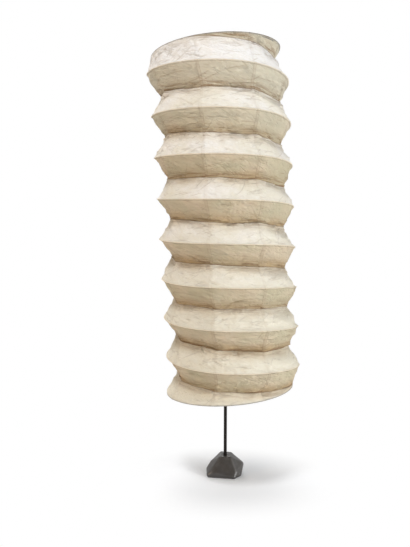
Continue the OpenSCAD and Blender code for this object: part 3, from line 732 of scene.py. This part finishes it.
def paper_finish():
    """Pasted mulberry paper. The masks and coordinates of its strips give the place in the
    fold: painted shade, creamier and browner, towards the valleys and on the side of a fold
    that faces down, a painted highlight along the rib with a painted shadow under it, thin
    creases browned as painted shade, the doubled edge of each seam, the dark line of a rim's
    wire, and long fibres in the sheet. The paper is whiter, and its valleys less brown,
    towards the top of the shade. Part of the light goes through it."""
    material, tree, shader, out = new_material("pasted_paper")

    def mask(name):
        return add(tree, "ShaderNodeAttribute", attribute_name=name).outputs["Fac"]

    def times(first, second):
        return reckon(tree, "MULTIPLY", first, second)

    def smooth(value, low, high, to_low=0.0, to_high=1.0):
        return remap(tree, value, low, high, to_low, to_high, smooth=True)

    def by_side(up, down):
        """A number that differs between the sides of a fold that face up and down."""
        return remap(tree, under, 0, 1, up, down)

    def noise(vector, scale, stretch, detail=4.0, rough=0.55, distort=0.0):
        turn = add(tree, "ShaderNodeMapping", in_Scale=stretch)
        tree.links.new(vector, turn.inputs["Vector"])
        made = add(tree, "ShaderNodeTexNoise", in_Scale=scale, in_Detail=detail,
                   in_Roughness=rough, in_Distortion=distort)
        tree.links.new(turn.outputs[0], made.inputs["Vector"])
        return made.outputs["Fac"]

    def ridges(value):
        """Noise folded at its middle, so that sharp lines run where it passes a half."""
        return reckon(tree, "ABSOLUTE", reckon(tree, "SUBTRACT", value, 0.5))

    fold, under, seam, rim = mask("fold"), mask("under"), mask("seam"), mask("rim")
    creased = mask("crease")

    # The sheet's own place, in metres along and down the folds
    place = add(tree, "ShaderNodeTexCoord")
    sheet = add(tree, "ShaderNodeSeparateXYZ")
    tree.links.new(place.outputs["UV"], sheet.inputs[0])
    along = add(tree, "ShaderNodeCombineXYZ")
    tree.links.new(sheet.outputs[0], along.inputs[0])
    tree.links.new(times(sheet.outputs[1], SLANT), along.inputs[1])
    sheet_place, object_place = along.outputs[0], place.outputs["Object"]
    tilt = add(tree, "ShaderNodeVectorRotate", rotation_type="Z_AXIS",
               in_Angle=math.radians(-22))
    tree.links.new(sheet_place, tilt.inputs["Vector"])
    split = add(tree, "ShaderNodeSeparateXYZ")
    tree.links.new(object_place, split.inputs[0])
    level = split.outputs[2]

    clouds = noise(object_place, 9.0, (1, 1, 1.6), 5.0)
    blush = noise(object_place, 5.0, (1, 1, 1.3), 3.0)
    fibres = noise(sheet_place, 420.0, (0.16, 1, 1), 6.0, 0.7, 0.6)
    strands = noise(sheet_place, 160.0, (1, 0.2, 1), 5.0, 0.65, 1.2)
    streaks = noise(sheet_place, 120.0, (0.07, 1, 1), 5.0, 0.6, 0.3)
    wrinkle = ridges(noise(sheet_place, 60.0, (0.22, 1, 1), 4.0, 0.6, 0.8))
    slanted = ridges(noise(tilt.outputs[0], 62.0, (0.3, 1, 1), 3.0, 0.6, 0.5))

    # Broad tones, darker and tanner as painted shade on the side of a fold that faces down
    lower_down, near_top = smooth(level, 1.15, 0.55), smooth(level, 1.12, 1.46)
    up_tone = mix_colour(tree, remap(tree, clouds, 0.35, 0.65), UP_CLOUDY, UP_CLEAN)
    up_tone = mix_colour(tree, times(lower_down, 0.8), up_tone, UP_LOWER)
    up_tone = mix_colour(tree, smooth(level, 1.32, 1.52, 0, 0.85), up_tone, UP_TOP)
    down_shade_tone = mix_colour(tree, remap(tree, blush, 0.42, 0.60), DOWN_SHADE_CREAM, DOWN_SHADE_BLUSH)
    down_shade_tone = mix_colour(tree, times(near_top, 0.8), down_shade_tone, DOWN_SHADE_TOP)
    tone = mix_colour(tree, under, up_tone, down_shade_tone)
    # Painted shade: browner towards the valleys
    valley_shade = times(smooth(fold, 0.42, 1.0), remap(tree, blush, 0.40, 0.62, 0.35, 0.95))
    valley_shade = times(valley_shade, remap(tree, near_top, 0, 1, 1, 0.35))
    tone = mix_colour(tree, valley_shade, tone, mix_colour(tree, under, VALLEY_SHADE_UP, VALLEY_SHADE_DOWN))

    # Painted shade: streaks beside the valley, its own line, the creases, and the wrinkles' pits
    lines = times(smooth(streaks, 0.505, 0.575), smooth(fold, 0.62, 0.97))
    tone = mix_colour(tree, times(lines, by_side(0.40, 0.75)), tone, STREAK_SHADE)
    tone = mix_colour(tree, times(smooth(fold, 0.972, 0.995), 0.7), tone, VALLEY_SHADE_LINE)
    tone = mix_colour(tree, times(smooth(creased, 0.20, 0.90), 0.42), tone,
                      mix_colour(tree, under, CREASE_SHADE_UP, CREASE_SHADE_DOWN))
    # Painted shade in the pits of the slanted wrinkles
    pits = smooth(slanted, 0.045, 0.005)
    tone = mix_colour(tree, times(pits, by_side(0.13, 0.06)), tone, PIT_SHADE)

    # The rib's painted highlight, and the painted shadow under it
    tone = mix_colour(tree, times(smooth(fold, 0.022, 0.006), 0.75), tone, RIB_HIGHLIGHT)
    rib_shadow_band = times(smooth(fold, 0.020, 0.032), smooth(fold, 0.070, 0.045))
    tone = mix_colour(tree, times(times(rib_shadow_band, under), 0.45), tone, UNDER_RIB_SHADE)

    # The seam: the lap's own edge, the neighbour's edge that shows through it, and the
    # doubled strip between them
    def seam_line(at, half):
        off = reckon(tree, "ABSOLUTE", reckon(tree, "SUBTRACT", seam, at))
        return smooth(off, half, half * 0.35)

    edge = reckon(tree, "MAXIMUM", times(seam_line(-0.0096, 0.0009), 0.5),
                  seam_line(0.0, 0.0009))
    edge = times(edge, remap(tree, strands, 0.35, 0.6, 0.35, 1.0))
    edge = times(edge, by_side(0.06, 0.55))
    doubled = times(smooth(seam, 0.0006, 0.0), by_side(0.05, 0.13))
    tone = mix_colour(tree, doubled, tone, DOUBLED)
    tone = mix_colour(tree, edge, tone, SEAM_EDGE)

    # The rim's wire and the fibres
    tone = mix_colour(tree, times(smooth(rim, 0.0045, 0.0015), 0.85), tone, RIM_EDGE)
    tone = mix_colour(tree, times(remap(tree, fibres, 0.5, 0.75), 0.22), tone, FIBRE_PALE)
    tone = mix_colour(tree, times(remap(tree, fibres, 0.46, 0.25), 0.25), tone, FIBRE_BROWN)
    tree.links.new(tone, shader.inputs["Base Color"])
    tree.links.new(remap(tree, clouds, 0.3, 0.7, 0.62, 0.78), shader.inputs["Roughness"])
    shader.inputs["Specular IOR Level"].default_value = 0.25

    # Fine relief, in metres: fibres, wrinkles that grow towards the valley, slanted
    # wrinkles and streaks
    height = reckon(tree, "MULTIPLY_ADD", fibres, 0.00022, times(strands, 0.00016))
    wrinkled = times(smooth(wrinkle, 0.0, 0.20), remap(tree, fold, 0.0, 1.0, -0.0020, -0.0044))
    for relief in (times(wrinkled, by_side(0.5, 1.0)),
                   times(smooth(slanted, 0.0, 0.15), by_side(-0.0019, -0.0034)),
                   times(lines, -0.0006)):
        height = reckon(tree, "ADD", height, relief)
    rise = add(tree, "ShaderNodeBump", in_Strength=0.85, in_Distance=1.0)
    tree.links.new(height, rise.inputs["Height"])
    tree.links.new(rise.outputs[0], shader.inputs["Normal"])
    glow = add(tree, "ShaderNodeBsdfTranslucent")
    tree.links.new(tone, glow.inputs["Color"])
    tree.links.new(rise.outputs[0], glow.inputs["Normal"])
    mix_shaders(tree, 0.30, shader, glow, out)
    return material


# ---------------------------------------------------------------- the pieces

PAPER = paper_finish()
WIRE = hard_finish("drawn_wire", (0.36, 0.34, 0.31, 1), (0.24, 0.22, 0.20, 1),
                   (0.62, 0.60, 0.57, 1), 0.42, 1.0, 900.0, 60.0, 0.00006, wear=0.3)
STEM = hard_finish("black_stem", (0.007, 0.006, 0.005, 1), (0.012, 0.009, 0.007, 1),
                   (0.05, 0.042, 0.035, 1), 0.6, 0.0, 700.0, 30.0, 0.00004, wear=0.25,
                   specular=0.12)
BLACK = hard_finish("black_lacquered_steel", (0.014, 0.013, 0.013, 1), (0.024, 0.022, 0.021, 1),
                    (0.16, 0.15, 0.14, 1), 0.42, 0.0, 700.0, 45.0, 0.00004, wear=0.35, coat=0.25)
IRON = hard_finish("cast_iron", (0.048, 0.045, 0.042, 1), (0.030, 0.024, 0.019, 1),
                   (0.15, 0.145, 0.14, 1), 0.42, 0.0, 420.0, 34.0, 0.00035, wear=0.6,
                   wear_radius=0.0035, specular=0.8, cast=True)
ZINC = hard_finish("zinc_plate", (0.60, 0.60, 0.62, 1), (0.46, 0.46, 0.49, 1),
                   (0.80, 0.80, 0.82, 1), 0.36, 1.0, 500.0, 80.0, 0.00004, wear=0.4)
BRASS = hard_finish("aged_brass", (0.60, 0.43, 0.17, 1), (0.42, 0.28, 0.11, 1),
                    (0.83, 0.66, 0.34, 1), 0.34, 1.0, 600.0, 70.0, 0.00004, wear=0.5)
PHENOLIC = hard_finish("moulded_phenolic", (0.030, 0.018, 0.012, 1), (0.018, 0.011, 0.008, 1),
                       (0.10, 0.07, 0.05, 1), 0.30, 0.0, 800.0, 50.0, 0.00003, wear=0.3, coat=0.4)
RUBBER = hard_finish("pad_rubber", (0.022, 0.022, 0.022, 1), (0.035, 0.034, 0.033, 1),
                     (0.07, 0.07, 0.07, 1), 0.85, 0.0, 900.0, 90.0, 0.00012, wear=0.2)
OPAL = hard_finish("opal_glass", (0.86, 0.85, 0.82, 1), (0.82, 0.81, 0.77, 1),
                   (0.90, 0.89, 0.87, 1), 0.22, 0.0, 300.0, 30.0, 0.00001, wear=0.1, coat=0.5)

for number in range(1, GORES + 1):
    paper_gore(number, PAPER)

rib = tube("spiral_rib", rib_path(), RIB_D / 2, sides=8)
dress(rib, "shade", "wire", WIRE, "shade_rib")
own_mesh(rib)
dress(tube("top_rim_ring", rim_path(SHADE_H), RIM_D / 2, sides=12, closed=True),
      "shade", "wire", WIRE, "top_rim")
dress(tube("bottom_rim_ring", rim_path(0.0), RIM_D / 2, sides=12, closed=True),
      "bottom_support", "wire", WIRE, "bottom_rim")
base_surface(IRON)

NODE_FINISH = {"base_pad": RUBBER, "base_washer": ZINC, "base_nut": ZINC, "cord_bush": PHENOLIC,
               "stem_lower": STEM, "stem_upper": STEM, "stem_coupling": BLACK,
               "hub_stop": BLACK, "cap_nut": BLACK, "top_hub": BLACK, "top_arms": BLACK,
               "bottom_collar": BLACK, "bottom_arms": BLACK, "thumb_screw": BRASS}
for holder in ("lower", "upper"):
    NODE_FINISH |= {f"{holder}_bracket": BLACK, f"{holder}_bracket_screw": ZINC,
                    f"{holder}_nipple": ZINC, f"{holder}_locknut": ZINC,
                    f"{holder}_holder_cap": PHENOLIC, f"{holder}_holder_shell": PHENOLIC,
                    f"{holder}_holder_insert": BRASS, f"{holder}_bulb_cap": BRASS,
                    f"{holder}_bulb_glass": OPAL}
for name, finish in NODE_FINISH.items():
    NODES[name].data.materials.clear()
    NODES[name].data.materials.append(finish)


# ---------------------------------------------------------------- the studio

WHITE = (1, 1, 1, 1)
WORLD_COLOUR, WORLD_LIGHT = (1.0, 0.985, 0.95, 1), 0.31
FLOOR_COLOUR, FLOOR_LIFT = (0.715, 0.73, 0.755, 1), 0.15
# The oval that keeps the shadow: the scale of its axes, how far its middle is moved, and
# the scaled distances at which it starts and stops fading to white
OVAL_SCALE, OVAL_SHIFT, OVAL_FADE = (0.85, 1.35, 1), (0, 0.0675, 0), (0.13, 0.40)
# Each lamp: its name, place, aim, size, power and colour
LAMPS = (("key", (-0.7, -1.9, 4.2), (0, 0, 0.9), 0.8, 91, (1, 1, 1)),
         ("fill", (2.6, -1.6, 3.0), (0, 0, 0.9), 2.0, 14, (1, 1, 1)),
         ("low", (2.8, -1.7, 0.45), (0, 0, 0.85), 1.2, 86, (1, 1, 1)),
         ("warm", (-2.6, -1.9, 0.7), (0, 0, 0.85), 1.2, 38, (1, 0.80, 0.62)),
         ("rear", (-0.5, 2.6, 3.6), (0, 0, 0.9), 2.4, 84, (1, 1, 1)))
# The camera that was fitted to the photograph: place, degrees down and to the left, lens
CAMERA_PLACE, CAMERA_DOWN, CAMERA_LEFT = (0, -2.0338, 1.0040), 6.567, 2.182
CAMERA_LENS = 36.52


def floor_finish():
    """White sweep. In an oval round the lamp's foot, drawn towards the camera, it takes the
    shadow, and its own light brings it to white for the camera and for reflections.
    Further out it is plain white to both."""
    material, tree, shader, out = new_material("studio_white")
    shader.inputs["Base Color"].default_value = FLOOR_COLOUR
    shader.inputs["Roughness"].default_value = 0.9
    shader.inputs["Specular IOR Level"].default_value = 0.0
    shader.inputs["Emission Color"].default_value = WHITE
    seen = add(tree, "ShaderNodeLightPath")
    rays = reckon(tree, "MAXIMUM", seen.outputs["Is Camera Ray"], seen.outputs["Is Glossy Ray"])
    tree.links.new(reckon(tree, "MULTIPLY", rays, FLOOR_LIFT), shader.inputs["Emission Strength"])
    white = add(tree, "ShaderNodeEmission", in_Color=WHITE, in_Strength=1.0)
    place = add(tree, "ShaderNodeTexCoord")
    oval = add(tree, "ShaderNodeVectorMath", operation="MULTIPLY_ADD", in_1=OVAL_SCALE,
               in_2=OVAL_SHIFT)
    tree.links.new(place.outputs["Object"], oval.inputs[0])
    far = add(tree, "ShaderNodeVectorMath", operation="LENGTH")
    tree.links.new(oval.outputs[0], far.inputs[0])
    far = remap(tree, far.outputs["Value"], *OVAL_FADE, smooth=True)
    mix_shaders(tree, reckon(tree, "MULTIPLY", rays, far), shader, white, out)
    return material


def add_lamp(name, place, aim, size, power, colour):
    """A round area lamp at a place, turned to its aim."""
    data = bpy.data.lights.new(name, "AREA")
    data.shape, data.size, data.energy, data.color = "DISK", size, power, colour
    lamp = bpy.data.objects.new(name, data)
    lamp.location = place
    away = np.array(aim) - np.array(place)
    lamp.rotation_euler = (math.atan2(math.hypot(away[0], away[1]), -away[2]), 0,
                           math.atan2(away[1], away[0]) - math.pi / 2)
    bpy.context.scene.collection.objects.link(lamp)


def studio():
    """The floor, the white world seen by the camera, and soft lamps. Reflections see the
    white background behind the lamp and a dimmer room in front of it."""
    bpy.ops.mesh.primitive_plane_add(size=60, location=(0, 0, 0))
    floor = bpy.context.object
    floor.name = "studio_floor"
    floor.data.materials.append(floor_finish())
    world = bpy.data.worlds.new("studio")
    bpy.context.scene.world = world
    world.use_nodes = True
    tree = world.node_tree
    tree.nodes.clear()
    out = add(tree, "ShaderNodeOutputWorld")
    light = add(tree, "ShaderNodeBackground", in_Color=WORLD_COLOUR, in_Strength=WORLD_LIGHT)
    white = add(tree, "ShaderNodeBackground", in_Color=WHITE, in_Strength=1.0)
    seen = add(tree, "ShaderNodeLightPath")
    way = add(tree, "ShaderNodeTexCoord")
    parts = add(tree, "ShaderNodeSeparateXYZ")
    tree.links.new(way.outputs["Generated"], parts.inputs[0])
    behind = remap(tree, parts.outputs[1], -0.25, 0.6, smooth=True)
    rays = reckon(tree, "MAXIMUM", seen.outputs["Is Camera Ray"],
                  reckon(tree, "MULTIPLY", seen.outputs["Is Glossy Ray"], behind))
    mix_shaders(tree, rays, light, white, out)
    for lamp in LAMPS:
        add_lamp(*lamp)


studio()

camera = bpy.data.cameras.new("camera")
camera.sensor_width = 36
camera.lens = CAMERA_LENS
seat = bpy.data.objects.new("camera", camera)
seat.location = CAMERA_PLACE
seat.rotation_euler = (math.radians(90 - CAMERA_DOWN), 0, math.radians(CAMERA_LEFT))
bpy.context.scene.collection.objects.link(seat)
bpy.context.scene.camera = seat
bpy.context.scene.view_settings.view_transform = "Standard"
